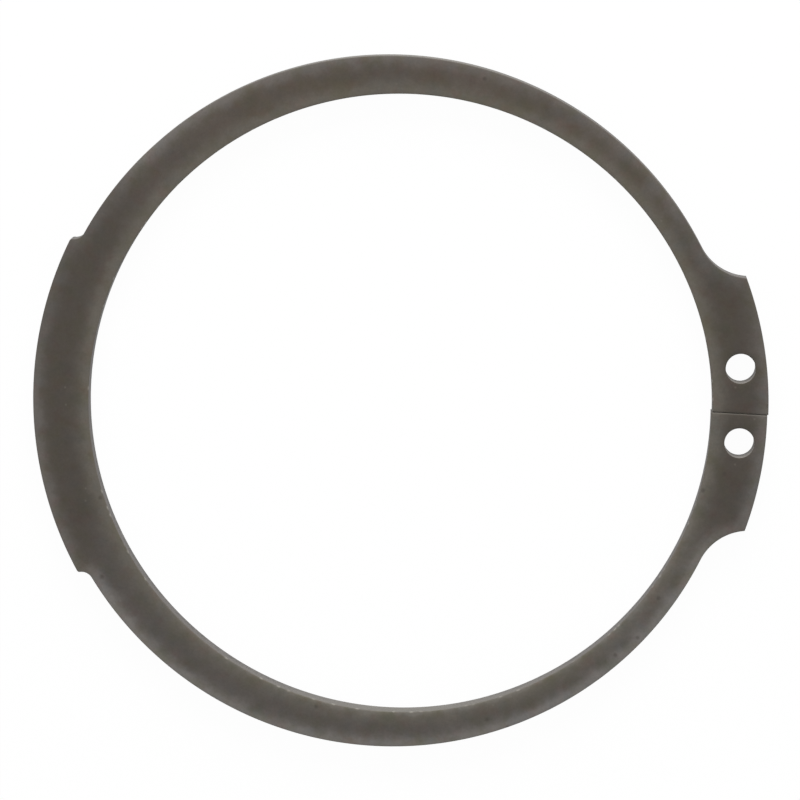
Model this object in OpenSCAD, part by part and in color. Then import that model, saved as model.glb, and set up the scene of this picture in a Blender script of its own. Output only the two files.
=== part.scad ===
// External retaining ring, stamped in one piece from spring steel strip.
// The ring lies flat with its underside on Z = 0. The Z axis is the axis of the shaft that it grips,
// its lugs are at +X and its bow is at -X.

/* [Bore] */
// Diameter of the bore while the ring is off its shaft
bore_d = 84; // [76:0.5:92]
// Thickness of the strip
thickness = 2.8; // [1.5:0.1:4]

/* [Body] */
// Radial width of the body beside the lugs
width_at_lugs = 3.5; // [2.5:0.1:4.5]
// Radial width of the body beside the bow
width_at_bow = 6.4; // [5.2:0.1:6.8]
// How far the outline was struck off the bore's centre, towards the upper arm at +Y
outline_rise = 0.11; // [0:0.01:0.3]

/* [Bow] */
// Radial width of the bow, the raised stretch opposite the lugs
bow_width = 7.5; // [7.1:0.1:9]
// Angle from the middle of the bow to each of its corners
bow_half_angle = 27.4; // [20:0.1:40]
// Radius of the hollow that leads from the body up to a corner of the bow
bow_hollow_r = 1.6; // [1:0.1:2.5]
// Radius that rounds each corner of the bow
bow_corner_r = 0.4; // [0.2:0.05:0.6]

/* [Lugs] */
// Radial width of both lugs
lug_width = 7.5; // [6.5:0.1:9]
// Angle from the X axis to the outer corner of the upper lug
upper_corner_angle = 20.5; // [17:0.1:24]
// Angle from the X axis to the outer corner of the lower lug, at -Y
lower_corner_angle = 20.1; // [17:0.1:24]
// Radius of the hollow that leads from the body out to the corner of a lug
lug_hollow_r = 7.2; // [5.5:0.1:9]

/* [Plier holes] */
// Diameter of both plier holes
hole_d = 4; // [3:0.1:4.6]
// Distance from the bore to the centre of a plier hole
hole_from_bore = 4.05; // [3.4:0.05:4.6]
// Distance along the upper lug from its end face to its plier hole's centre
upper_hole_from_end = 6.1; // [3.5:0.1:8]
// Distance along the lower lug from its end face to its plier hole's centre
lower_hole_from_end = 4; // [3.5:0.1:8]

/* [Ends] */
// Gap between the two end faces
end_gap = 0.06; // [0.04:0.02:1]
// Angle from the X axis to the middle of the gap
seam_angle = -1.2; // [-4:0.1:4]
// Angle by which the end faces lean away from a spoke of the ring
seam_lean = -2.2; // [-6:0.1:6]
// How far the end of the upper arm has sprung inside the bore's own circle
upper_end_in = 0.2; // [0.1:0.02:0.6]
// How far the end of the lower arm has sprung inside the bore's own circle
lower_end_in = 0.34; // [0.1:0.02:0.6]

/* [Hidden] */

$fn = 180;

// The bore's centre is the origin of every plan below. The finished ring is moved so that the shaft's axis is there.
centre = [0, 0];
bore_r = bore_d / 2;
bow_r = bore_r + bow_width;
// The body's outer edge is one circle, set off from the bore towards the bow, which tapers the body towards its lugs
edge_r = bore_r + (width_at_lugs + width_at_bow) / 2;
// A round shaft that just passes touches the bow and the lower end, so its axis lies this far from the bore's centre
shaft_offset = lower_end_in / 2;
// Arcs that blend overlap by this much, so that they cross in one clean corner
blend = 0.003;
// Well outside the ring
far = 2 * bore_d;
// Turns points over to the other side of the X axis
flip = [[1, 0], [0, -1]];

// Each half of the ring is drawn at +Y, and the lower one is mirrored. Side is 1 for the upper half, -1 for the lower.
// Centres of the bow's edge and of the body's edge
function bow_c(side) = [0, side * outline_rise];
function edge_c(side) = [-(width_at_bow - width_at_lugs) / 2, side * outline_rise];

function along(angle, length) = length * [cos(angle), sin(angle)];
function bearing(v) = atan2(v[1], v[0]);

// Where a line from the bore's centre at an angle leaves a circle
function leave(centre, radius, angle) =
    let (reach = centre * along(angle, 1))
    along(angle, reach + sqrt(radius * radius - centre * centre + reach * reach));

// Turn at the first end of a triangle's base, opposite the side named last
function corner_turn(base, side, opposite) =
    acos((base * base + side * side - opposite * opposite) / (2 * base * side));

// Centre of the circle of radius r that lies against the outside of another circle and passes through a corner.
// It lies clockwise or anticlockwise of the corner, as way is -1 or 1.
function hollow_centre(centre, radius, corner, r, way) =
    let (
        from_centre = radius + r - blend,
        turn = corner_turn(norm(corner - centre), from_centre, r)
    )
    centre + along(bearing(corner - centre) + way * turn, from_centre);

// The bow's corner, before it is rounded
function bow_corner(side) = leave(bow_c(side), bow_r, 180 - bow_half_angle);

// The hollow beside the bow's corner
function bow_hollow(side) = hollow_centre(edge_c(side), edge_r, bow_corner(side), bow_hollow_r, -1);

// A spoke from inside the bore to outside the ring
function spoke(angle) = [along(angle, bore_r / 2), along(angle, far)];

// The spoke through the point where a hollow lies against a circle
function spoke_at_hollow(centre, radius, hollow) =
    spoke(bearing(centre + along(bearing(hollow - centre), radius)));

// The line across the top of the ring where an arm starts: through the highest points of both of its edges
function arm_root(side) =
    let (
        inner = [0, bore_r],
        across = edge_c(side) + [0, edge_r] - inner
    )
    [inner - 4 * across, inner + 20 * across];

// The line of an end face
function end_face(seam, lean) =
    let (
        middle = along(seam, bore_r + lug_width / 2),
        face = middle + along(seam + lean + 90, end_gap / 2)
    )
    [face - along(seam + lean, bore_r / 2), face + along(seam + lean, far)];

// The field between two lines that both run outward
function between(from, to) = [from[0], from[1], to[1], to[0]];

module disc(centre, radius) {
    translate(centre) circle(radius);
}

// The stretch of the ring that lies in a field, from the circle of its inner edge to the circle of its outer edge
module stretch(field, inner_c, inner_r, outer_c, outer_r) {
    intersection() {
        polygon(field);
        difference() {
            disc(outer_c, outer_r);
            disc(inner_c, inner_r);
        }
    }
}

// An arm with its lug, from the top of the ring to its end face. It has sprung inward: it keeps its widths, on
// circles that are tighter than the body's and touch them at the top.
module arm(side, end_in, corner_angle) {
    end = end_face(side * seam_angle, side * seam_lean);
    tighter = round(1000 * end_in / (1 - cos(90 - side * seam_angle))) / 1000;
    arm_bore_c = [0, tighter];
    arm_bore_r = bore_r - tighter;
    arm_edge_c = edge_c(side) + [0, tighter];
    arm_edge_r = edge_r - tighter;
    stretch(between(end, arm_root(side)), arm_bore_c, arm_bore_r, arm_edge_c, arm_edge_r);

    lug_c = bow_c(side) + [0, tighter];
    lug_r = arm_bore_r + lug_width;
    hollow = hollow_centre(arm_edge_c, arm_edge_r, leave(lug_c, lug_r, corner_angle), lug_hollow_r, 1);
    lug_root = spoke_at_hollow(arm_edge_c, arm_edge_r, hollow);
    difference() {
        stretch(between(end, lug_root), arm_bore_c, arm_bore_r, lug_c, lug_r);
        disc(hollow, lug_hollow_r);
    }
}

module plier_hole(side, end_in, from_end) {
    pitch_r = bore_r - end_in + hole_from_bore;
    disc(along(side * seam_angle + from_end / pitch_r * 180 / PI, pitch_r), hole_d / 2);
}

// The half of the ring on the bow's side
module bow_half() {
    upper = arm_root(1);
    lower = arm_root(-1) * flip;
    stretch([upper[0], upper[1], [-far, far], [-far, -far], lower[1], lower[0]], centre, bore_r, edge_c(1), edge_r);

    upper_end = spoke_at_hollow(edge_c(1), edge_r, bow_hollow(1));
    lower_end = spoke_at_hollow(edge_c(-1), edge_r, bow_hollow(-1)) * flip;
    difference() {
        stretch(between(upper_end, lower_end), centre, bore_r, bow_c(1), bow_r);
        bow_corner_waste(1);
        mirror([0, 1]) bow_corner_waste(-1);
    }
}

// What comes off a corner of the bow: the hollow beside it, and what rounds the corner itself
module bow_corner_waste(side) {
    hollow = bow_hollow(side);
    disc(hollow, bow_hollow_r);

    round_r = bow_r - bow_corner_r;
    span = bow_hollow_r + bow_corner_r;
    turn = corner_turn(norm(hollow - bow_c(side)), round_r, span);
    round_bearing = bearing(hollow - bow_c(side)) + turn;
    round_c = bow_c(side) + along(round_bearing, round_r);
    difference() {
        polygon([
            round_c,
            hollow + bow_hollow_r / span * (round_c - hollow),
            round_c + 1.5 * (bow_corner(side) - round_c),
            bow_c(side) + along(round_bearing, bow_r)
        ]);
        disc(round_c, bow_corner_r + blend);
    }
}

module profile() {
    difference() {
        union() {
            bow_half();
            arm(1, upper_end_in, upper_corner_angle);
            mirror([0, 1]) arm(-1, lower_end_in, lower_corner_angle);
        }
        plier_hole(1, upper_end_in, upper_hole_from_end);
        mirror([0, 1]) plier_hole(-1, lower_end_in, lower_hole_from_end);
    }
}

module retaining_ring() {
    color([0.32, 0.31, 0.29])
        translate([shaft_offset, 0, 0])
            linear_extrude(thickness)
                profile();
}

retaining_ring();
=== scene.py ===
"""Dressed model of an external retaining ring, stamped in one piece from spring steel strip.

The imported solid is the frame. The ring drawn here follows the same rule as the solid, and adds what
stamping and tumbling leave behind: rounded edges, rolled-over rims, and the wear and colour of its
phosphate coat. Lengths are in metres. The Z axis is the axis of the shaft, the lugs are at +X and the
bow is at -X.
"""

import math
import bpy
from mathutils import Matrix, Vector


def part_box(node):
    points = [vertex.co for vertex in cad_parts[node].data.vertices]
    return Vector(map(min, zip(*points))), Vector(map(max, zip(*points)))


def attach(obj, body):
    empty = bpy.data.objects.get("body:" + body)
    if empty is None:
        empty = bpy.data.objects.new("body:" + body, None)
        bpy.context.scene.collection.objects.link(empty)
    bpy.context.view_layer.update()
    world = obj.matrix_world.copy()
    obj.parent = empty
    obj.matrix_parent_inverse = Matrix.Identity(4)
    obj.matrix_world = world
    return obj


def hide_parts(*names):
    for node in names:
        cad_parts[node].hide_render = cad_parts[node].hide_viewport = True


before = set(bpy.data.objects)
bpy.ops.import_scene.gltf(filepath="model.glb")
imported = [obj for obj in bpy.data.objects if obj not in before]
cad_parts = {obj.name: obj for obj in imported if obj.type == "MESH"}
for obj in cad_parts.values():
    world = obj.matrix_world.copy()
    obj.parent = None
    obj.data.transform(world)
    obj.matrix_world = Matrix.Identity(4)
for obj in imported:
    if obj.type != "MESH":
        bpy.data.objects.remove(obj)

from types import SimpleNamespace

import bpy
from bpy.props import FloatProperty, FloatVectorProperty, PointerProperty
from mathutils import Matrix, Vector

bl_info = {
    "name": "Retaining Ring",
    "version": (1, 0, 0),
    "blender": (4, 5, 0),
    "location": "View3D > Sidebar > Retaining Ring",
    "description": "Builds a stamped external retaining ring and the stage that it is shown on",
    "category": "Add Mesh",
}

MM = 0.001
RING_NODE = "retaining_ring"
STEEL_SLOT = "phosphated_spring_steel"

# Attributes of the ring's mesh: distances from any edge of its plan, from the bore, from the outer rim and
# from the end faces
EDGE_DISTANCE = "edge_distance"
BORE_DISTANCE = "bore_distance"
RIM_DISTANCE = "rim_distance"
END_DISTANCE = "end_distance"

# The plan is a net of rows that run round the ring and columns that cross it. Rows crowd towards both
# edges, over the width where the rims roll over, and are even in between. A window in the middle rows is
# opened at each plier hole.
EDGE_ROWS = 10
MIDDLE_ROWS = 16
ROWS = 2 * EDGE_ROWS + MIDDLE_ROWS
HOLE_FIRST_ROW = EDGE_ROWS
HOLE_ROWS = MIDDLE_ROWS + 2
HOLE_COLUMNS = 16
HOLE_LOOPS = 10
# How far the window reaches beyond its plier hole, along the ring
WINDOW_MARGIN = 0.7 * MM
# Points of the plan closer than this are one point
WELD = 0.001 * MM
# Faces that turn by more than this meet in a crisp edge
CRISP_TURN = math.radians(40)

# Directions across the ring, from its middle: towards the upper arm, and towards the lower side of the bore
UPPER_ARM = (0.42, 0.91, 0)
LOWER_SIDE = (0.3, -0.95, 0)


def linear(code):
    """A colour written as an sRGB hex value, as linear red, green and blue."""
    channels = [int(code[i:i + 2], 16) / 255 for i in (1, 3, 5)]
    return [c / 12.92 if c <= 0.04045 else ((c + 0.055) / 1.055) ** 2.4 for c in channels]


def length(name, description, millimetres, low, high):
    """Property for a length, from values in millimetres."""
    return FloatProperty(name=name, description=description, default=millimetres * MM, min=low * MM,
                         max=high * MM, precision=5, unit="LENGTH", subtype="DISTANCE")


def angle(name, description, degrees, low, high):
    """Property for an angle, from values in degrees."""
    return FloatProperty(name=name, description=description, default=math.radians(degrees),
                         min=math.radians(low), max=math.radians(high), unit="ROTATION", subtype="ANGLE")


def colour(name, description, code):
    """Property for a colour, from an sRGB hex value."""
    return FloatVectorProperty(name=name, description=description, default=linear(code), min=0, max=1,
                               size=3, subtype="COLOR")


def own_properties(group):
    """The sizes or colours that a property group holds."""
    return [p for p in group.bl_rna.properties if p.type == "FLOAT"]


class RingSizes(bpy.types.PropertyGroup):
    """Sizes of the ring. Each one is an input of the ring's node tree under the same name."""

    bore_diameter: length("Bore Diameter", "Bore while the ring is off its shaft", 84, 76, 92)
    thickness: length("Thickness", "Thickness of the strip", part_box(RING_NODE)[1].z / MM, 1.5, 4)
    width_at_lugs: length("Width at Lugs", "Radial width of the body beside the lugs", 3.5, 2.7, 4.5)
    width_at_bow: length("Width at Bow", "Radial width of the body beside the bow", 6.4, 5.2, 6.8)
    outline_rise: length("Outline Rise", "Offset of the outline towards the upper arm", 0.11, 0, 0.3)
    bow_width: length("Bow Width", "Radial width of the raised stretch opposite the lugs", 7.5, 7.1, 9)
    bow_half_angle: angle("Bow Half Angle", "From the middle of the bow to its corners", 27.4, 20, 40)
    bow_hollow_radius: length("Bow Hollow Radius", "Hollow that leads up to the bow's corner", 1.6, 1, 2.5)
    bow_corner_radius: length("Bow Corner Radius", "Rounding of each corner of the bow", 0.4, 0.2, 0.6)
    lug_width: length("Lug Width", "Radial width of both lugs", 7.5, 6.5, 9)
    upper_corner_angle: angle("Upper Corner Angle", "Outer corner of the upper lug, from X", 20.5, 17, 24)
    lower_corner_angle: angle("Lower Corner Angle", "Outer corner of the lower lug, from X", 20.1, 17, 24)
    lug_hollow_radius: length("Lug Hollow Radius", "Hollow that leads out to a lug's corner", 7.2, 5.5, 9)
    hole_diameter: length("Hole Diameter", "Diameter of both plier holes", 4, 3, 4.6)
    hole_from_bore: length("Hole from Bore", "From the bore to the centre of a plier hole", 4.05, 3.4, 4.6)
    upper_hole_from_end: length("Upper Hole from End", "Upper end face to its plier hole", 6.1, 3.5, 8)
    lower_hole_from_end: length("Lower Hole from End", "Lower end face to its plier hole", 4, 3.5, 8)
    end_gap: length("End Gap", "Gap between the two end faces", 0.06, 0.04, 1)
    seam_angle: angle("Seam Angle", "Middle of the gap, from X", -1.2, -4, 4)
    seam_lean: angle("Seam Lean", "Lean of the end faces away from a spoke", -2.2, -6, 6)
    upper_end_in: length("Upper End In", "Upper end's spring inside the bore's own circle", 0.2, 0.1, 0.6)
    lower_end_in: length("Lower End In", "Lower end's spring inside the bore's own circle", 0.34, 0.1, 0.6)
    roll_width: length("Roll Width", "Width of the rim that blanking draws down", 0.7, 0.4, 1.3)
    roll_depth: length("Roll Depth", "Depth to which the upper rim is drawn down", 0.07, 0, 0.1)
    end_edge_radius: length("End Edge Radius", "Rounding of both end faces' upper edges", 0.16, 0.03, 0.3)
    upper_edge_radius: length("Upper Edge Radius", "Tumbled rounding of the upper edges", 0.12, 0.03, 0.3)
    lower_edge_radius: length("Lower Edge Radius", "Tumbled rounding of the lower edges", 0.05, 0.03, 0.3)


class SteelFinish(bpy.types.PropertyGroup):
    """Colours of the ring's steel, from its dark middle out to its cut walls."""

    coat: colour("Coat", "Thick brown-black phosphate on the wide parts of the strip", "#47413b")
    arm_coat: colour("Arm Coat", "Thinner phosphate along the narrow arms", "#4e4945")
    upper_coat: colour("Upper Coat", "Browner phosphate along the upper arm", "#4e463f")
    olive: colour("Olive", "Tint of the faint greener stains", "#fbfff0")
    rust: colour("Rust", "Tint of the faint red-brown stains", "#fff2f2")
    slate: colour("Slate", "Tint of the faint bluer stains", "#f4faff")
    bore_margin: colour("Bore Margin", "Coat worn thin along the bore", "#605b53")
    rim_margin: colour("Rim Margin", "Coat worn thin along the outer rim", "#726e6a")
    # Painted highlight on the bore's edge along its lower side, which faces the lamp
    painted_bore_highlight: colour("Painted Bore Highlight", "Painted highlight on the bore's edge along its lower side", "#827e78")
    wall: colour("Wall", "Burnished parts of the cut walls", "#6b6863")
    hole_wall: colour("Hole Wall", "Clean walls of the plier holes and the end faces", "#7d7974")
    # Painted shade on the walls towards the bow and the lugs, which turn away from the lamp
    side_wall: colour("Shaded Side Wall", "Walls towards the bow and the lugs, darkened as painted shade", "#625e5b")
    # Lower part of the side walls: torn by blanking, and painted shade at the wall's foot
    torn_wall: colour("Torn Wall and Foot Shade", "Lower part of those walls: torn, and darkened as painted shade at the foot", "#595653")
    # Painted glints: flecks along the bore's upper edge, and the highlight line at the seam
    fleck: colour("Painted Glint", "Bare flecks on the bore's upper edge", "#96928b")
    speck: colour("Speck", "Rubbed high spots", "#736e66")
    pit: colour("Pit", "Small pits in the coat", "#3a3530")


def add(tree, kind, *values, **named):
    """Adds a node. Values fill its sockets in order, and None leaves one alone. A capitalised name is a
    socket too, with _ for a space, and any other name is a setting. A node that is given as a value means
    its first output, and a list is for a socket that takes several."""
    node = tree.nodes.new(kind)
    for name, value in named.items():
        if name[0].islower():
            setattr(node, name, value)
    live = [socket for socket in node.inputs if socket.enabled]
    fills = list(zip(live, values))
    fills += [(next(s for s in live if s.name == name.replace("_", " ")), value)
              for name, value in named.items() if name[0].isupper()]
    for socket, given in fills:
        for value in given if isinstance(given, list) else [given]:
            if isinstance(value, bpy.types.Node):
                value = next(output for output in value.outputs if output.enabled)
            if isinstance(value, bpy.types.NodeSocket):
                tree.links.new(value, socket)
            elif value is not None:
                socket.default_value = value
    return node


MATH = "ShaderNodeMath"
VECTOR = "ShaderNodeVectorMath"
XYZ = "ShaderNodeCombineXYZ"
PARTS = "ShaderNodeSeparateXYZ"
ROTATE = "ShaderNodeVectorRotate"
RANGE = "ShaderNodeMapRange"
GROUP = "GeometryNodeGroup"
MIX = "ShaderNodeMix"
NOISE = "ShaderNodeTexNoise"
COMPARE = "FunctionNodeCompare"
JOIN = "GeometryNodeJoinGeometry"
POSITION = "GeometryNodeInputPosition"
ATTRIBUTE = "GeometryNodeInputNamedAttribute"
STORE = "GeometryNodeStoreNamedAttribute"
NUMBER = "NodeSocketFloat"
POINT = "NodeSocketVector"
MESH = "NodeSocketGeometry"


def new_tree(name, inputs, outputs):
    """Starts a node tree. Inputs and outputs map names to kinds of socket. Gives the tree, the sockets of
    its inputs and those of its outputs."""
    tree = bpy.data.node_groups.new(name, "GeometryNodeTree")
    for label, kind in inputs.items():
        tree.interface.new_socket(label, in_out="INPUT", socket_type=kind)
    for label, kind in outputs.items():
        tree.interface.new_socket(label, in_out="OUTPUT", socket_type=kind)
    return tree, add(tree, "NodeGroupInput").outputs, add(tree, "NodeGroupOutput").inputs


def finish_tree(tree, result, node):
    """Ends a tree that has one output with its last node."""
    tree.links.new(next(output for output in node.outputs if output.enabled), result[0])
    return tree


def spoke_reach():
    """Tree for the point where a line from a start, at a bearing, leaves a circle, or enters it where Far
    is -1."""
    tree, given, result = new_tree(
        "Spoke Reach",
        {"Start": POINT, "Bearing": NUMBER, "Centre": POINT, "Radius": NUMBER, "Far": NUMBER},
        {"Point": POINT})
    way = add(tree, ROTATE, (1, 0, 0), Angle=given["Bearing"], rotation_type="Z_AXIS")
    to_centre = add(tree, VECTOR, given["Centre"], given["Start"], operation="SUBTRACT")
    abreast = add(tree, VECTOR, to_centre, way, operation="DOT_PRODUCT")
    foot = add(tree, VECTOR, way, abreast, operation="SCALE")
    aside = add(tree, VECTOR, to_centre, foot, operation="DISTANCE")
    aside_square = add(tree, MATH, aside, aside, operation="MULTIPLY")
    square = add(tree, MATH, given["Radius"], given["Radius"], operation="MULTIPLY")
    rest = add(tree, MATH, square, aside_square, operation="SUBTRACT")
    half_chord = add(tree, MATH, rest, operation="SQRT")
    distance = add(tree, MATH, half_chord, given["Far"], abreast, operation="MULTIPLY_ADD")
    offset = add(tree, VECTOR, way, distance, operation="SCALE")
    point = add(tree, VECTOR, given["Start"], offset, operation="ADD")
    return finish_tree(tree, result, point)


def third_corner():
    """Tree for the third corner of a triangle, from two corners and its distances from them. It lies to
    the left of the line from the first corner to the second, or to the right where Side is -1."""
    tree, given, result = new_tree(
        "Third Corner",
        {"First": POINT, "Second": POINT, "From First": NUMBER, "From Second": NUMBER, "Side": NUMBER},
        {"Point": POINT})
    base = add(tree, VECTOR, given["Second"], given["First"], operation="SUBTRACT")
    unit = add(tree, VECTOR, base, operation="NORMALIZE")
    left = add(tree, VECTOR, (0, 0, 1), unit, operation="CROSS_PRODUCT")
    base_square = add(tree, VECTOR, base, base, operation="DOT_PRODUCT")
    base_length = add(tree, VECTOR, base, operation="LENGTH")
    first_square = add(tree, MATH, given["From First"], given["From First"], operation="MULTIPLY")
    second_square = add(tree, MATH, given["From Second"], given["From Second"], operation="MULTIPLY")
    more = add(tree, MATH, first_square, base_square, operation="ADD")
    excess = add(tree, MATH, more, second_square, operation="SUBTRACT")
    half_excess = add(tree, MATH, excess, 0.5, operation="MULTIPLY")
    along = add(tree, MATH, half_excess, base_length, operation="DIVIDE")
    along_square = add(tree, MATH, along, along, operation="MULTIPLY")
    rest = add(tree, MATH, first_square, along_square, operation="SUBTRACT")
    height = add(tree, MATH, rest, operation="SQRT")
    aside = add(tree, MATH, height, given["Side"], operation="MULTIPLY")
    ahead = add(tree, VECTOR, unit, along, operation="SCALE")
    across = add(tree, VECTOR, left, aside, operation="SCALE")
    corner = add(tree, VECTOR, ahead, across, operation="ADD")
    point = add(tree, VECTOR, given["First"], corner, operation="ADD")
    return finish_tree(tree, result, point)


def step_towards():
    """Tree for the point at a distance from one point towards another."""
    tree, given, result = new_tree(
        "Step Towards", {"From": POINT, "To": POINT, "Distance": NUMBER}, {"Point": POINT})
    line = add(tree, VECTOR, given["To"], given["From"], operation="SUBTRACT")
    unit = add(tree, VECTOR, line, operation="NORMALIZE")
    step = add(tree, VECTOR, unit, given["Distance"], operation="SCALE")
    point = add(tree, VECTOR, given["From"], step, operation="ADD")
    return finish_tree(tree, result, point)


def stretch(reach):
    """Tree for one stretch of the plan, from an arc of the bore to an arc of the edge. Its ends are lines
    between given points. A crowd above 1 draws the columns closer together towards that end."""
    tree, given, result = new_tree(
        "Stretch",
        {"Seat Centre": POINT, "Seat Radius": NUMBER, "Edge Centre": POINT, "Edge Radius": NUMBER,
         "Far": NUMBER, "Seat From": POINT, "Edge From": POINT, "Seat To": POINT, "Edge To": POINT,
         "Roll Width": NUMBER, "Columns": NUMBER, "Crowd From": NUMBER, "Crowd To": NUMBER},
        {"Plan": MESH})
    posts = add(tree, MATH, given["Columns"], 1, operation="ADD")
    net = add(tree, "GeometryNodeMeshGrid", 1, 1, ROWS + 1, posts)
    place = add(tree, VECTOR, add(tree, POSITION), (0.5, 0.5, 0), operation="ADD")
    place = add(tree, PARTS, place)
    across, along = place.outputs["X"], place.outputs["Y"]

    left = add(tree, MATH, along, given["Crowd From"], operation="POWER")
    left = add(tree, MATH, 1, left, operation="SUBTRACT")
    left = add(tree, MATH, left, given["Crowd To"], operation="POWER")
    turn = add(tree, MATH, 1, left, operation="SUBTRACT")
    ends = {}
    for arc in ("Seat", "Edge"):
        bearings = []
        for end in ("From", "To"):
            parts = add(tree, PARTS, given[f"{arc} {end}"]).outputs
            bearings.append(add(tree, MATH, parts["Y"], parts["X"], operation="ARCTAN2"))
        bearing = add(tree, MIX, turn, *bearings, data_type="FLOAT")
        far = given["Far"] if arc == "Edge" else 1
        ends[arc] = add(tree, GROUP, (0, 0, 0), bearing, given[f"{arc} Centre"], given[f"{arc} Radius"],
                        far, node_tree=reach)

    # Rows lie at squares of even steps from either edge, over the width of the roll
    width = add(tree, VECTOR, ends["Seat"], ends["Edge"], operation="DISTANCE")
    seat_rows = add(tree, RANGE, across, 0, EDGE_ROWS / ROWS, 0, 1)
    middle_rows = add(tree, RANGE, across, EDGE_ROWS / ROWS, 1 - EDGE_ROWS / ROWS, 0, 1)
    edge_rows = add(tree, RANGE, across, 1 - EDGE_ROWS / ROWS, 1, 1, 0)
    seat_part = add(tree, MATH, seat_rows, seat_rows, 1, operation="MULTIPLY_ADD")
    edge_part = add(tree, MATH, edge_rows, edge_rows, operation="MULTIPLY")
    rims = add(tree, MATH, seat_part, edge_part, operation="SUBTRACT")
    middle = add(tree, MATH, given["Roll Width"], -2, width, operation="MULTIPLY_ADD")
    middle_part = add(tree, MATH, middle, middle_rows, operation="MULTIPLY")
    distance = add(tree, MATH, rims, given["Roll Width"], middle_part, operation="MULTIPLY_ADD")
    share = add(tree, MATH, distance, width, operation="DIVIDE")
    point = add(tree, MIX, share, ends["Seat"], ends["Edge"], data_type="VECTOR")

    # The first and the last row and the first column are marked, so that distances from them can be taken
    # from the finished plan
    for name, way, line in ((BORE_DISTANCE, across, 0), (RIM_DISTANCE, across, 1), (END_DISTANCE, along, 0)):
        on_line = add(tree, COMPARE, way, line, Epsilon=0.1 / ROWS, data_type="FLOAT", operation="EQUAL")
        net = add(tree, STORE, net, Name=name, Value=on_line, data_type="FLOAT", domain="POINT")
    return finish_tree(tree, result, add(tree, "GeometryNodeSetPosition", net, None, point))


def drilled():
    """Tree that opens a window in the middle rows of a stretch, and lays a plier hole's net into it."""
    tree, given, result = new_tree(
        "Drilled", {"Plan": MESH, "Hole Centre": POINT, "Hole Diameter": NUMBER}, {"Plan": MESH})
    index = add(tree, "GeometryNodeInputIndex")
    row = add(tree, MATH, index, HOLE_COLUMNS, operation="DIVIDE")
    row = add(tree, MATH, row, operation="FLOOR")
    inside = add(tree, COMPARE, row, HOLE_FIRST_ROW + (HOLE_ROWS - 1) / 2, Epsilon=HOLE_ROWS / 2,
                 data_type="FLOAT", operation="EQUAL")
    opened = add(tree, "GeometryNodeDeleteGeometry", given["Plan"], inside, domain="FACE", mode="ALL")

    around = 2 * (HOLE_COLUMNS + HOLE_ROWS)
    net = add(tree, "GeometryNodeMeshGrid", around, 1, around + 1, HOLE_LOOPS + 1)
    place = add(tree, VECTOR, add(tree, POSITION), (around / 2, 0.5, 0), operation="ADD")
    place = add(tree, PARTS, place)
    # A walk round the window: along its first row, out, back along its last row, and in again
    walk = [add(tree, RANGE, place, start, start + count, 0, count, data_type="FLOAT")
            for start, count in ((0, HOLE_COLUMNS), (HOLE_COLUMNS, HOLE_ROWS),
                                 (HOLE_COLUMNS + HOLE_ROWS, HOLE_COLUMNS),
                                 (2 * HOLE_COLUMNS + HOLE_ROWS, HOLE_ROWS))]
    column = add(tree, MATH, walk[0], walk[2], operation="SUBTRACT")
    row = add(tree, MATH, walk[1], walk[3], operation="SUBTRACT")
    row = add(tree, MATH, row, HOLE_FIRST_ROW, operation="ADD")
    corner = add(tree, MATH, row, HOLE_COLUMNS + 1, column, operation="MULTIPLY_ADD")
    corner = add(tree, MATH, corner, operation="ROUND")
    outer = add(tree, "GeometryNodeSampleIndex", given["Plan"], add(tree, POSITION), corner,
                data_type="FLOAT_VECTOR", domain="POINT")
    radius = add(tree, MATH, given["Hole Diameter"], 0.5, operation="MULTIPLY")
    line = add(tree, VECTOR, outer, given["Hole Centre"], operation="SUBTRACT")
    unit = add(tree, VECTOR, line, operation="NORMALIZE")
    step = add(tree, VECTOR, unit, radius, operation="SCALE")
    wall = add(tree, VECTOR, given["Hole Centre"], step, operation="ADD")
    share = add(tree, MATH, place.outputs["Y"], 2, operation="POWER")
    point = add(tree, MIX, share, wall, outer, data_type="VECTOR")
    patch = add(tree, "GeometryNodeSetPosition", net, None, point)
    return finish_tree(tree, result, add(tree, JOIN, [opened, patch]))


# Inputs of half a ring: sizes that both halves share, and sizes that each arm has of its own
SHARED_SIZES = ("Bore Diameter", "Width at Lugs", "Width at Bow", "Bow Width", "Bow Half Angle",
                "Bow Hollow Radius", "Bow Corner Radius", "Lug Width", "Lug Hollow Radius",
                "Hole Diameter", "Hole from Bore", "End Gap", "Roll Width")
ARM_SIZES = ("Corner Angle", "Hole from End", "End In")
# Values that change sign for the half at -Y, which is drawn at +Y and turned over
SIGNED_SIZES = ("Seam Angle", "Seam Lean", "Outline Rise")


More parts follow.
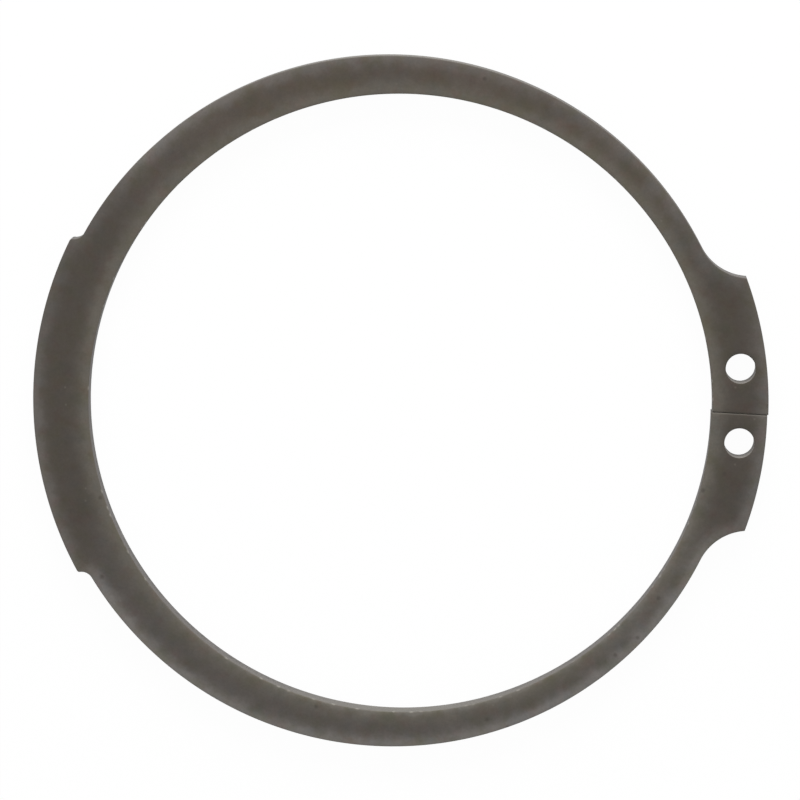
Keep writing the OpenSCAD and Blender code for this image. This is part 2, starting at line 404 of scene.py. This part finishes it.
def half_ring():
    """Tree for one half of the plan, from the end face of the arm at +Y to the middle of the bow."""
    tree, given, result = new_tree(
        "Half Ring", dict.fromkeys(SHARED_SIZES + ARM_SIZES + SIGNED_SIZES, NUMBER), {"Plan": MESH})
    reach, third, towards = spoke_reach(), third_corner(), step_towards()
    net, drill = stretch(reach), drilled()

    # The body's edge is one circle, set off from the bore towards the bow, which tapers the body towards
    # its lugs. The whole outline was struck a little off the bore's centre.
    rise = given["Outline Rise"]
    bore_r = add(tree, MATH, given["Bore Diameter"], 0.5, operation="MULTIPLY")
    widths = add(tree, MATH, given["Width at Lugs"], given["Width at Bow"], operation="ADD")
    edge_r = add(tree, MATH, widths, 0.5, bore_r, operation="MULTIPLY_ADD")
    taper = add(tree, MATH, given["Width at Lugs"], given["Width at Bow"], operation="SUBTRACT")
    set_off = add(tree, MATH, taper, 0.5, operation="MULTIPLY")
    edge_c = add(tree, XYZ, set_off, rise)
    bore_top = add(tree, XYZ, 0, bore_r)
    edge_top = add(tree, XYZ, set_off, add(tree, MATH, edge_r, rise, operation="ADD"))

    # The arm has sprung inward, on circles that are tighter than the body's and touch them at the top
    slack = add(tree, MATH, 1, add(tree, MATH, given["Seam Angle"], operation="SINE"), operation="SUBTRACT")
    tighter = add(tree, MATH, given["End In"], slack, operation="DIVIDE")
    seat_c = add(tree, XYZ, 0, tighter)
    seat_r = add(tree, MATH, bore_r, tighter, operation="SUBTRACT")
    arm_rise = add(tree, MATH, tighter, rise, operation="ADD")
    arm_edge_c = add(tree, XYZ, set_off, arm_rise)
    arm_edge_r = add(tree, MATH, edge_r, tighter, operation="SUBTRACT")
    lug_c = add(tree, XYZ, 0, arm_rise)
    lug_r = add(tree, MATH, seat_r, given["Lug Width"], operation="ADD")

    # The end face
    lean = add(tree, MATH, given["Seam Angle"], given["Seam Lean"], operation="ADD")
    half_gap = add(tree, XYZ, 0, add(tree, MATH, given["End Gap"], 0.5, operation="MULTIPLY"))
    aside = add(tree, ROTATE, half_gap, Angle=lean, rotation_type="Z_AXIS")
    lug_middle = add(tree, XYZ, add(tree, MATH, given["Lug Width"], 0.5, bore_r, operation="MULTIPLY_ADD"))
    middle = add(tree, ROTATE, lug_middle, Angle=given["Seam Angle"], rotation_type="Z_AXIS")
    face = add(tree, VECTOR, middle, aside, operation="ADD")
    end_seat = add(tree, GROUP, face, lean, seat_c, seat_r, 1, node_tree=reach)
    end_edge = add(tree, GROUP, face, lean, lug_c, lug_r, 1, node_tree=reach)

    # The plier hole, and the window that its net fills
    pitch_r = add(tree, MATH, bore_r, given["Hole from Bore"], operation="ADD")
    pitch_r = add(tree, MATH, pitch_r, given["End In"], operation="SUBTRACT")
    from_seam = add(tree, MATH, given["Hole from End"], pitch_r, operation="DIVIDE")
    bearing = add(tree, MATH, given["Seam Angle"], from_seam, operation="ADD")
    hole_c = add(tree, ROTATE, add(tree, XYZ, pitch_r), Angle=bearing, rotation_type="Z_AXIS")
    window = add(tree, MATH, given["Hole Diameter"], 0.5, WINDOW_MARGIN, operation="MULTIPLY_ADD")
    window = add(tree, MATH, window, pitch_r, operation="DIVIDE")
    window_to = add(tree, ROTATE, hole_c, Angle=window, rotation_type="Z_AXIS")
    back = add(tree, MATH, window, -1, operation="MULTIPLY")
    window_from = add(tree, ROTATE, hole_c, Angle=back, rotation_type="Z_AXIS")

    # The lug's corner, and the hollow that leads out to it
    corner = add(tree, GROUP, (0, 0, 0), given["Corner Angle"], lug_c, lug_r, 1, node_tree=reach)
    hollow_r = given["Lug Hollow Radius"]
    from_edge_c = add(tree, MATH, arm_edge_r, hollow_r, operation="ADD")
    hollow_c = add(tree, GROUP, arm_edge_c, corner, from_edge_c, hollow_r, 1, node_tree=third)
    lug_root = add(tree, GROUP, arm_edge_c, hollow_c, arm_edge_r, node_tree=towards)

    # The bow's corner, its hollow and its rounding
    bow_r = add(tree, MATH, bore_r, given["Bow Width"], operation="ADD")
    bow_bearing = add(tree, MATH, math.pi, given["Bow Half Angle"], operation="SUBTRACT")
    bow_c = add(tree, XYZ, 0, rise)
    bow_corner = add(tree, GROUP, (0, 0, 0), bow_bearing, bow_c, bow_r, 1, node_tree=reach)
    dip_r, round_r = given["Bow Hollow Radius"], given["Bow Corner Radius"]
    from_edge_c = add(tree, MATH, edge_r, dip_r, operation="ADD")
    dip_c = add(tree, GROUP, edge_c, bow_corner, from_edge_c, dip_r, -1, node_tree=third)
    bow_root = add(tree, GROUP, edge_c, dip_c, edge_r, node_tree=towards)
    from_centre = add(tree, MATH, bow_r, round_r, operation="SUBTRACT")
    from_dip = add(tree, MATH, dip_r, round_r, operation="ADD")
    round_c = add(tree, GROUP, bow_c, dip_c, from_centre, from_dip, 1, node_tree=third)
    round_from = add(tree, GROUP, dip_c, round_c, dip_r, node_tree=towards)
    round_to = add(tree, GROUP, bow_c, round_c, bow_r, node_tree=towards)

    arm, ring = (seat_c, seat_r), ((0, 0, 0), bore_r)
    # Each stretch: its seat, its edge and whether that is the far side of its circle, the points that its
    # ends run between, its columns and how they crowd
    stretches = (
        (arm, (lug_c, lug_r, 1), (end_seat, end_edge), (window_from, window_from), 16, 2, 1),
        (arm, (lug_c, lug_r, 1), (window_from, window_from), (window_to, window_to), HOLE_COLUMNS, 1, 1),
        (arm, (lug_c, lug_r, 1), (window_to, window_to), (corner, corner), 24, 1, 2),
        (arm, (hollow_c, hollow_r, -1), (corner, corner), (lug_root, lug_root), 28, 1.8, 1),
        (arm, (arm_edge_c, arm_edge_r, 1), (lug_root, lug_root), (bore_top, edge_top), 56, 1, 1),
        (ring, (edge_c, edge_r, 1), (bore_top, edge_top), (bow_root, bow_root), 60, 1, 1),
        (ring, (dip_c, dip_r, -1), (bow_root, bow_root), (round_from, round_from), 14, 1, 1),
        (ring, (round_c, round_r, 1), (round_from, round_from), (round_to, round_to), 8, 1, 1),
        (ring, (bow_c, bow_r, 1), (round_to, round_to), ((-1, 0, 0), (-1, 0, 0)), 40, 1.8, 1),
    )
    plans = []
    for seat, edge, start, stop, columns, crowd_from, crowd_to in stretches:
        plan = add(tree, GROUP, *seat, *edge, *start, *stop, given["Roll Width"], columns, crowd_from,
                   crowd_to, node_tree=net)
        if start[0] is window_from:
            plan = add(tree, GROUP, plan, hole_c, given["Hole Diameter"], node_tree=drill)
        plans.append(plan)
    return finish_tree(tree, result, add(tree, JOIN, plans))


def edge_drop():
    """Tree for how far a face falls away near an edge: a quarter round at the edge itself, on a wide and
    shallow roll."""
    tree, given, result = new_tree(
        "Edge Drop",
        {"Distance": NUMBER, "Edge Radius": NUMBER, "Roll Width": NUMBER, "Roll Depth": NUMBER},
        {"Drop": NUMBER})
    near = add(tree, RANGE, given["Distance"], 0, given["Edge Radius"], 1, 0)
    square = add(tree, MATH, near, near, operation="MULTIPLY")
    rest = add(tree, MATH, 1, square, operation="SUBTRACT")
    rise = add(tree, MATH, rest, operation="SQRT")
    fall = add(tree, MATH, 1, rise, operation="SUBTRACT")
    quarter_round = add(tree, MATH, fall, given["Edge Radius"], operation="MULTIPLY")
    wide = add(tree, RANGE, given["Distance"], 0, given["Roll Width"], 1, 0)
    wide = add(tree, MATH, wide, 2, operation="POWER")
    drop = add(tree, MATH, wide, given["Roll Depth"], quarter_round, operation="MULTIPLY_ADD")
    return finish_tree(tree, result, drop)


def ring_tree(sizes, material):
    """Tree for the whole ring: both halves of the plan, raised to the strip's thickness, with its edges
    rounded."""
    names = [p.name for p in own_properties(sizes)]
    tree, given, result = new_tree("Retaining Ring", dict.fromkeys(names, NUMBER), {"Ring": MESH})
    half = half_ring()
    halves = []
    for side, sign in (("Upper", 1), ("Lower", -1)):
        values = {name: given[name] for name in SHARED_SIZES}
        values |= {name: given[f"{side} {name}"] for name in ARM_SIZES}
        values |= {name: add(tree, MATH, given[name], sign, operation="MULTIPLY") for name in SIGNED_SIZES}
        plan = add(tree, GROUP, *values.values(), node_tree=half)
        if sign < 0:
            plan = add(tree, "GeometryNodeTransform", plan, Scale=(1, -1, 1))
            plan = add(tree, "GeometryNodeFlipFaces", plan)
        halves.append(plan)
    plan = add(tree, "GeometryNodeMergeByDistance", add(tree, JOIN, halves), Distance=WELD)
    # A round shaft that just passes touches the bow and the lower end, and its axis is the ring's
    shift = add(tree, XYZ, add(tree, MATH, given["Lower End In"], 0.5, operation="MULTIPLY"))
    plan = add(tree, "GeometryNodeTransform", plan, Translation=shift)

    # Distances from the plan's edges take the place of the marks
    neighbours = add(tree, "GeometryNodeInputMeshEdgeNeighbors")
    open_edge = add(tree, COMPARE, neighbours, 1, data_type="INT", operation="EQUAL")
    edges = {EDGE_DISTANCE: open_edge}
    for name in (BORE_DISTANCE, RIM_DISTANCE, END_DISTANCE):
        mark = add(tree, ATTRIBUTE, name, data_type="FLOAT")
        on_line = add(tree, COMPARE, mark, 0.9, data_type="FLOAT", operation="GREATER_THAN")
        edges[name] = add(tree, "FunctionNodeBooleanMath", on_line, open_edge, operation="AND")
    marked = plan
    for name, edge in edges.items():
        outline = add(tree, "GeometryNodeSeparateGeometry", marked, edge, domain="EDGE")
        nearest = add(tree, "GeometryNodeProximity", outline, target_element="EDGES")
        plan = add(tree, STORE, plan, Name=name, Value=nearest.outputs["Distance"], data_type="FLOAT",
                   domain="POINT")

    raised = add(tree, "GeometryNodeExtrudeMesh", plan, Offset=(0, 0, 1), Offset_Scale=given["Thickness"],
                 Individual=False, mode="FACES")
    underside = add(tree, "GeometryNodeFlipFaces", plan)
    ring = add(tree, "GeometryNodeMergeByDistance", add(tree, JOIN, [raised, underside]), Distance=WELD)

    # Both faces fall away near their edges
    distance = add(tree, ATTRIBUTE, EDGE_DISTANCE, data_type="FLOAT")
    drop = edge_drop()
    down = add(tree, GROUP, distance, given["Upper Edge Radius"], given["Roll Width"], given["Roll Depth"],
               node_tree=drop)
    from_end = add(tree, ATTRIBUTE, END_DISTANCE, data_type="FLOAT")
    end_down = add(tree, GROUP, from_end, given["End Edge Radius"], given["Roll Width"], 0, node_tree=drop)
    down = add(tree, MATH, down, end_down, operation="MAXIMUM")
    down = add(tree, MATH, down, -1, operation="MULTIPLY")
    up = add(tree, GROUP, distance, given["Lower Edge Radius"], given["Roll Width"], 0, node_tree=drop)
    height = add(tree, PARTS, add(tree, POSITION)).outputs["Z"]
    on_top = add(tree, COMPARE, height, WELD, data_type="FLOAT", operation="GREATER_THAN")
    offset = add(tree, XYZ, Z=add(tree, "GeometryNodeSwitch", on_top, up, down, input_type="FLOAT"))
    ring = add(tree, "GeometryNodeSetPosition", ring, Offset=offset)

    turn = add(tree, "GeometryNodeInputMeshEdgeAngle")
    crisp = add(tree, COMPARE, turn, CRISP_TURN, data_type="FLOAT", operation="GREATER_THAN")
    ring = add(tree, "GeometryNodeSetShadeSmooth", ring, Shade_Smooth=True, domain="FACE")
    ring = add(tree, "GeometryNodeSetShadeSmooth", ring, crisp, False, domain="EDGE")
    ring = add(tree, "GeometryNodeSetMaterial", ring, Material=material)
    return finish_tree(tree, result, add(tree, "GeometryNodeRealizeInstances", ring))


def per(millimetres):
    """Scale of a pattern whose features are this wide."""
    return 1 / (millimetres * MM)


def spots(tree, place, width, share, radius, most):
    """Mask of small round spots, in a share of the cells of a pattern that is this many millimetres wide.
    A spot's radius is a part of its cell's width, and the mask is highest at its middle."""
    cells = add(tree, "ShaderNodeTexVoronoi", place, Scale=per(width), voronoi_dimensions="2D")
    pick = add(tree, PARTS, cells.outputs["Color"]).outputs["X"]
    pick = add(tree, MATH, pick, share, operation="LESS_THAN")
    spot = add(tree, RANGE, cells.outputs["Distance"], 0.02, radius, most, 0,
               interpolation_type="SMOOTHSTEP")
    return add(tree, MATH, spot, pick, operation="MULTIPLY")


def marked_out(tree):
    """What the steel's patterns are laid out by: places on the ring, distances from its edges, which parts
    are within two tenths of a millimetre of an edge, and a wander that keeps lines from being too true."""
    place = add(tree, "ShaderNodeTexCoord").outputs["Object"]
    parts = add(tree, PARTS, place).outputs
    from_bore, from_rim, from_end = (
        add(tree, "ShaderNodeAttribute", attribute_name=name).outputs["Fac"]
        for name in (BORE_DISTANCE, RIM_DISTANCE, END_DISTANCE))
    at_bore, at_rim = (add(tree, RANGE, distance, 0.05 * MM, 0.2 * MM, 1, 0)
                       for distance in (from_bore, from_rim))
    wander = add(tree, NOISE, place, Scale=per(3), Detail=3, Roughness=0.55)
    wander = add(tree, RANGE, wander, 0.3, 0.7, -0.45 * MM, 0.45 * MM)
    side = add(tree, MATH, parts["X"], operation="ABSOLUTE")
    return SimpleNamespace(place=place, side=side, up=parts["Y"], height=parts["Z"], wander=wander,
                           from_bore=from_bore, from_rim=from_rim, from_end=from_end, at_bore=at_bore,
                           at_rim=at_rim)


def worn_coat_and_highlight(tree, finish, at):
    """Colour of the strip's faces: the coat, its worn margins, a painted highlight along the lower side of
    the bore's edge, and its stains.
    """
    # The wide bow and lugs took a thicker coat than the arms between them, a little more so on the upper
    # side, and the upper arm's is browner
    thick = add(tree, MATH, at.up, 0.12, at.side, operation="MULTIPLY_ADD")
    thick = add(tree, RANGE, thick, 36 * MM, 42 * MM, 0, 1, interpolation_type="SMOOTHSTEP")
    towards_arm = add(tree, VECTOR, at.place, UPPER_ARM, operation="DOT_PRODUCT")
    browner = add(tree, RANGE, towards_arm, 0, 30 * MM, 0, 1)
    surface = add(tree, MIX, browner, finish["arm_coat"], finish["upper_coat"], data_type="RGBA")
    surface = add(tree, MIX, thick, surface, finish["coat"], data_type="RGBA")

    # The margins are worn over about two millimetres, which wander. The rim is worn less on the bow, on the
    # lugs and along the upper arm. Along the bore's lower side, which faces the lamp, a painted highlight
    # lightens its very edge.
    arm_spared = add(tree, RANGE, towards_arm, 5 * MM, 45 * MM, 0, 0.6)
    wide_spared = add(tree, RANGE, at.up, 0, 15 * MM, 0.46, 0.7)
    wide_spared = add(tree, MATH, thick, wide_spared, operation="MULTIPLY")
    spared = add(tree, MATH, arm_spared, wide_spared, operation="MAXIMUM")
    rim_wear = add(tree, MATH, 1, spared, operation="SUBTRACT")
    towards_lower = add(tree, VECTOR, at.place, LOWER_SIDE, operation="DOT_PRODUCT")
    # Share of the painted highlight: strongest along the bore's lower side, which faces the lamp
    bore_highlight_share = add(tree, RANGE, towards_lower, 12 * MM, 38 * MM, 0, 0.3)
    for name, distance, reach, wear_and_highlight in (
            ("bore_margin", at.from_bore, 1.6, 1),
            ("painted_bore_highlight", at.from_bore, 0.4, bore_highlight_share),
            ("rim_margin", at.from_rim, 1.3, rim_wear)):
        distance = add(tree, MATH, distance, at.wander, operation="ADD")
        distance = add(tree, MATH, distance, 0, operation="MAXIMUM")
        fade = add(tree, MATH, distance, reach * MM, operation="DIVIDE")
        fade = add(tree, MATH, fade, fade, operation="MULTIPLY")
        fade = add(tree, MATH, fade, -1, operation="MULTIPLY")
        fade = add(tree, MATH, fade, operation="EXPONENT")
        fade = add(tree, MATH, fade, wear_and_highlight, operation="MULTIPLY")
        surface = add(tree, MIX, fade, surface, finish[name], data_type="RGBA")

    # Faint stains, a few millimetres wide, tint the coat and the worn margins alike
    for name, width, low, high, shift in (
            ("olive", 3, 0.46, 0.7, (0, 0, 0)),
            ("rust", 2.2, 0.5, 0.74, (0.3, 0.1, 0.2)),
            ("slate", 2.6, 0.48, 0.72, (0.1, 0.4, 0.3))):
        moved = add(tree, VECTOR, at.place, shift, operation="ADD")
        clouds = add(tree, NOISE, moved, Scale=per(width), Detail=3, Roughness=0.6)
        stain = add(tree, RANGE, clouds, low, high, 0, 1)
        surface = add(tree, MIX, stain, surface, finish[name], data_type="RGBA", blend_type="MULTIPLY")
    return surface


def cut_walls(tree, finish, at, thickness):
    """Colour of the cut walls. Blanking burnishes them. Towards the bow and the lugs, where the walls turn
    away from the lamp, painted shade darkens them. Their lower part, below a line that wanders, is darker
    still: partly torn by blanking, partly painted shade at the foot. The plier holes and the end faces are
    clean."""
    blanked = add(tree, MATH, at.at_bore, at.at_rim, operation="MAXIMUM")
    # Painted shade: towards the bow and the lugs, the bore and rim walls turn away from the lamp and are
    # darkened
    side_shade = add(tree, RANGE, at.side, 5 * MM, 28 * MM, 0, 1)
    side_shade = add(tree, MATH, side_shade, blanked, operation="MULTIPLY")
    # Below a line that wanders, the wall is darker: partly torn by blanking, partly painted shade at the
    # foot
    line = add(tree, MATH, at.height, at.wander, operation="ADD")
    torn = add(tree, RANGE, line, 0.4 * thickness, 0.6 * thickness, 1, 0)
    torn = add(tree, MATH, torn, side_shade, operation="MULTIPLY")
    wall = add(tree, MIX, blanked, finish["hole_wall"], finish["wall"], data_type="RGBA")
    wall = add(tree, MIX, side_shade, wall, finish["side_wall"], data_type="RGBA")
    wall = add(tree, MIX, torn, wall, finish["torn_wall"], data_type="RGBA")

    # The tears are upright streaks, half a millimetre wide
    streaks = add(tree, VECTOR, at.place, (1, 1, 0.35), operation="MULTIPLY")
    streaks = add(tree, NOISE, streaks, Scale=per(0.5), Detail=2)
    streaks = add(tree, RANGE, streaks, 0.35, 0.65, -0.22, 0.2)
    streaks = add(tree, MATH, streaks, torn, 1, operation="MULTIPLY_ADD")
    return add(tree, VECTOR, wall, streaks, operation="SCALE")


def painted_edge_glints(tree, at, sizes):
    """Masks of painted glints on the edges: flecks of painted glint on the upper edge of the bore's wall,
    and a fine painted highlight line on the lower end face's upper edge, which faces the lamp, where the
    ends meet."""
    # Flecks of painted glint along the upper edge of the bore's wall
    upper = add(tree, RANGE, at.height, 0.8 * sizes.thickness, 0.9 * sizes.thickness, 0, 1)
    upper = add(tree, MATH, at.at_bore, upper, operation="MULTIPLY")
    flecks = add(tree, MATH, spots(tree, at.place, 1.2, 0.55, 0.35, 0.6), upper, operation="MULTIPLY")

    # The seam passes through the middle of the lugs' width, and what is below it belongs to the lower end
    lug_middle = Vector(((sizes.bore_diameter + sizes.lug_width) / 2, 0, 0))
    lug_middle.rotate(Matrix.Rotation(sizes.seam_angle, 3, "Z"))
    lug_middle.x += sizes.lower_end_in / 2
    off_seam = Vector((0, 1, 0))
    off_seam.rotate(Matrix.Rotation(sizes.seam_angle + sizes.seam_lean, 3, "Z"))
    above = add(tree, VECTOR, at.place, off_seam, operation="DOT_PRODUCT")
    lower_end = add(tree, MATH, above, off_seam.dot(lug_middle), operation="LESS_THAN")
    # Painted highlight line on the lower end face's upper edge, which faces the lamp
    line = add(tree, RANGE, at.from_end, 0.04 * MM, 0.22 * MM, 0.2, 0)
    return flecks, add(tree, MATH, line, lower_end, operation="MULTIPLY")


def phosphated_spring_steel(finish, sizes):
    """Carbon spring steel strip, blanked, tumbled, phosphated and oiled. The coat is a layer of fine dull
    crystals that hides the metal, so the faces look dark, brown-grey and satin. Tumbling thins it along the
    bore and the outer rim, which are greyer and lighter. The cut walls are lighter and duller. Painted shade
    darkens the walls that turn away from the lamp, and painted highlights lighten some edges."""
    material = bpy.data.materials.new(STEEL_SLOT)
    material.use_nodes = True
    tree = material.node_tree
    tree.nodes.clear()
    at = marked_out(tree)

    # Crystals of the coat, drawn at about a pixel's width because the real ones are a tenth of that, and
    # the millimetre wide mottling that they grow in
    grain = add(tree, NOISE, at.place, Scale=per(0.3), Detail=2, Roughness=0.6)
    mottle = add(tree, NOISE, at.place, Scale=per(1.2), Detail=3, Roughness=0.6)
    shade = add(tree, MATH, add(tree, RANGE, grain, 0.3, 0.7, 0.95, 1.05),
                add(tree, RANGE, mottle, 0.3, 0.7, 0.96, 1.04), operation="MULTIPLY")
    surface = add(tree, VECTOR, worn_coat_and_highlight(tree, finish, at), shade, operation="SCALE")

    # Rubbed high spots and small pits
    for name, width, share, radius, most in (
            ("speck", 2.5, 0.05, 0.09, 0.25),
            ("pit", 2.9, 0.07, 0.16, 0.5)):
        spot = spots(tree, at.place, width, share, radius, most)
        surface = add(tree, MIX, spot, surface, finish[name], data_type="RGBA")

    # Walls are where the surface turns away from the strip's flat
    upright = add(tree, PARTS, add(tree, "ShaderNodeTexCoord").outputs["Normal"]).outputs["Z"]
    upright = add(tree, MATH, upright, operation="ABSOLUTE")
    cut = add(tree, RANGE, upright, 0.3, 0.7, 1, 0)
    walls = add(tree, VECTOR, cut_walls(tree, finish, at, sizes.thickness), shade, operation="SCALE")
    surface = add(tree, MIX, cut, surface, walls, data_type="RGBA")
    # Painted glints on the edges: flecks along the bore's upper edge and a fine line at the seam
    for glint in painted_edge_glints(tree, at, sizes):
        surface = add(tree, MIX, glint, surface, finish["fleck"], data_type="RGBA")

    metallic = add(tree, RANGE, cut, 0, 1, 0.2, 0.1)
    rough = add(tree, RANGE, cut, 0, 1, 0.48, 0.6)
    rough = add(tree, MATH, grain, 0.1, rough, operation="MULTIPLY_ADD")
    bump = add(tree, "ShaderNodeBump", 1, 0.004 * MM, Height=grain)
    shader = add(tree, "ShaderNodeBsdfPrincipled", surface, metallic, rough, Normal=bump,
                 Specular_IOR_Level=0.3)
    add(tree, "ShaderNodeOutputMaterial", shader)
    return material


def applied(carrier):
    """The plain mesh that an object's modifiers make."""
    depsgraph = bpy.context.evaluated_depsgraph_get()
    return bpy.data.meshes.new_from_object(carrier.evaluated_get(depsgraph), depsgraph=depsgraph)


class RETAINING_RING_OT_ring(bpy.types.Operator):
    """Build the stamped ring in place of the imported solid"""

    bl_idname = "retaining_ring.ring"
    bl_label = "Ring"

    def execute(self, context):
        sizes, finish = context.scene.ring_sizes, context.scene.steel_finish
        colours = {p.identifier: (*getattr(finish, p.identifier), 1) for p in own_properties(finish)}
        tree = ring_tree(sizes, phosphated_spring_steel(colours, sizes))

        ring = bpy.data.objects.new("stamped_ring", bpy.data.meshes.new("stamped_ring"))
        context.scene.collection.objects.link(ring)
        modifier = ring.modifiers.new("Retaining Ring", "NODES")
        modifier.node_group = tree
        values = {p.name: getattr(sizes, p.identifier) for p in own_properties(sizes)}
        for socket in tree.interface.items_tree:
            if socket.in_out == "INPUT":
                modifier[socket.identifier] = values[socket.name]
        mesh = applied(ring)
        if not mesh.polygons:
            raise RuntimeError("the ring's tree made no faces")
        ring.modifiers.clear()
        ring.data = mesh

        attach(ring, "root")
        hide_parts(RING_NODE)
        return {"FINISHED"}


class RETAINING_RING_OT_stage(bpy.types.Operator):
    """Build the pale floor, the soft light and the camera"""

    bl_idname = "retaining_ring.stage"
    bl_label = "Stage"

    def execute(self, context):
        scene = context.scene
        # The floor lies a hair below the ring, so that the two surfaces don't share a plane
        half, low = 1.5, -0.02 * MM
        corners = [(-half, -half, low), (half, -half, low), (half, half, low), (-half, half, low)]
        mesh = bpy.data.meshes.new("floor")
        mesh.from_pydata(corners, [], [(0, 1, 2, 3)])
        mesh.materials.append(paper())
        floor = bpy.data.objects.new("floor", mesh)
        scene.collection.objects.link(floor)

        scene.world = soft_room()
        scene.collection.objects.link(softbox())
        scene.camera = camera()
        scene.collection.objects.link(scene.camera)
        scene.view_settings.view_transform = "Standard"
        return {"FINISHED"}


def seen_directly(tree):
    """1 for a ray from the camera, or one that a shiny or clear surface sends on, and 0 for the light."""
    rays = add(tree, "ShaderNodeLightPath").outputs
    seen = add(tree, MATH, rays["Is Camera Ray"], rays["Is Glossy Ray"], operation="MAXIMUM")
    return add(tree, MATH, seen, rays["Is Transmission Ray"], operation="MAXIMUM")


def paper():
    """Matt white paper. It looks evenly white to the camera and in reflections, but for a small share of
    its own shading, which keeps the ring's shadow."""
    material = bpy.data.materials.new("paper")
    material.use_nodes = True
    tree = material.node_tree
    tree.nodes.clear()
    matt = add(tree, "ShaderNodeBsdfDiffuse", (*linear("#ffffff"), 1))
    white = add(tree, "ShaderNodeEmission", (1, 1, 1, 1), 1)
    share = add(tree, MATH, seen_directly(tree), 0.97, operation="MULTIPLY")
    add(tree, "ShaderNodeOutputMaterial", add(tree, "ShaderNodeMixShader", share, matt, white))
    return material


def soft_room():
    """World that lights the ring evenly from all round, and looks white."""
    world = bpy.data.worlds.new("soft_room")
    world.use_nodes = True
    tree = world.node_tree
    tree.nodes.clear()
    strength = add(tree, MIX, seen_directly(tree), 0.6, 1, data_type="FLOAT")
    add(tree, "ShaderNodeOutputWorld", add(tree, "ShaderNodeBackground", (1, 1, 1, 1), strength))
    return world


def softbox():
    """Lamp beyond the upper arm, turned to the ring. It isn't mirrored in the steel."""
    lamp = bpy.data.lights.new("softbox", "AREA")
    lamp.shape = "RECTANGLE"
    lamp.size, lamp.size_y = 0.5, 0.35
    lamp.energy = 5
    lamp_box = bpy.data.objects.new("softbox", lamp)
    lamp_box.location = (0.04, 0.6, 0.25)
    lamp_box.rotation_euler = Vector(lamp_box.location).to_track_quat("Z", "Y").to_euler()
    lamp_box.visible_glossy = False
    return lamp_box


def camera():
    """Camera nine degrees off straight above the ring. Its stand, aim, lens and shift were fitted to the
    ring's outline in the photograph."""
    view = bpy.data.cameras.new("camera")
    view.lens = 176.7
    view.sensor_width = 36
    view.shift_x, view.shift_y = -0.0001, 0.0086
    view.clip_start, view.clip_end = 0.01, 20
    viewer = bpy.data.objects.new("camera", view)
    stand, aim = Vector((23.27, 83.0, 522.6)) * MM, Vector((0.17, 0, 2.8)) * MM
    back = (stand - aim).normalized()
    right = (Vector((1, 0, 0)) - back * back.x).normalized()
    turned = Matrix((right, back.cross(right), back)).transposed().to_4x4()
    viewer.matrix_world = Matrix.Translation(stand) @ turned
    return viewer


class RETAINING_RING_PT_panel(bpy.types.Panel):
    """Sizes, colours and builders of the retaining ring"""

    bl_label = "Retaining Ring"
    bl_space_type = "VIEW_3D"
    bl_region_type = "UI"
    bl_category = "Retaining Ring"

    def draw(self, context):
        for group in (context.scene.ring_sizes, context.scene.steel_finish):
            column = self.layout.column()
            for p in own_properties(group):
                column.prop(group, p.identifier)
        for operator in (RETAINING_RING_OT_ring, RETAINING_RING_OT_stage):
            self.layout.operator(operator.bl_idname)


CLASSES = (RingSizes, SteelFinish, RETAINING_RING_OT_ring, RETAINING_RING_OT_stage, RETAINING_RING_PT_panel)


def register():
    for cls in CLASSES:
        bpy.utils.register_class(cls)
    bpy.types.Scene.ring_sizes = PointerProperty(type=RingSizes)
    bpy.types.Scene.steel_finish = PointerProperty(type=SteelFinish)


def unregister():
    del bpy.types.Scene.steel_finish
    del bpy.types.Scene.ring_sizes
    for cls in reversed(CLASSES):
        bpy.utils.unregister_class(cls)


def main():
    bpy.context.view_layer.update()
    register()
    bpy.ops.retaining_ring.ring()
    bpy.ops.retaining_ring.stage()


if __name__ == "__main__":
    main()
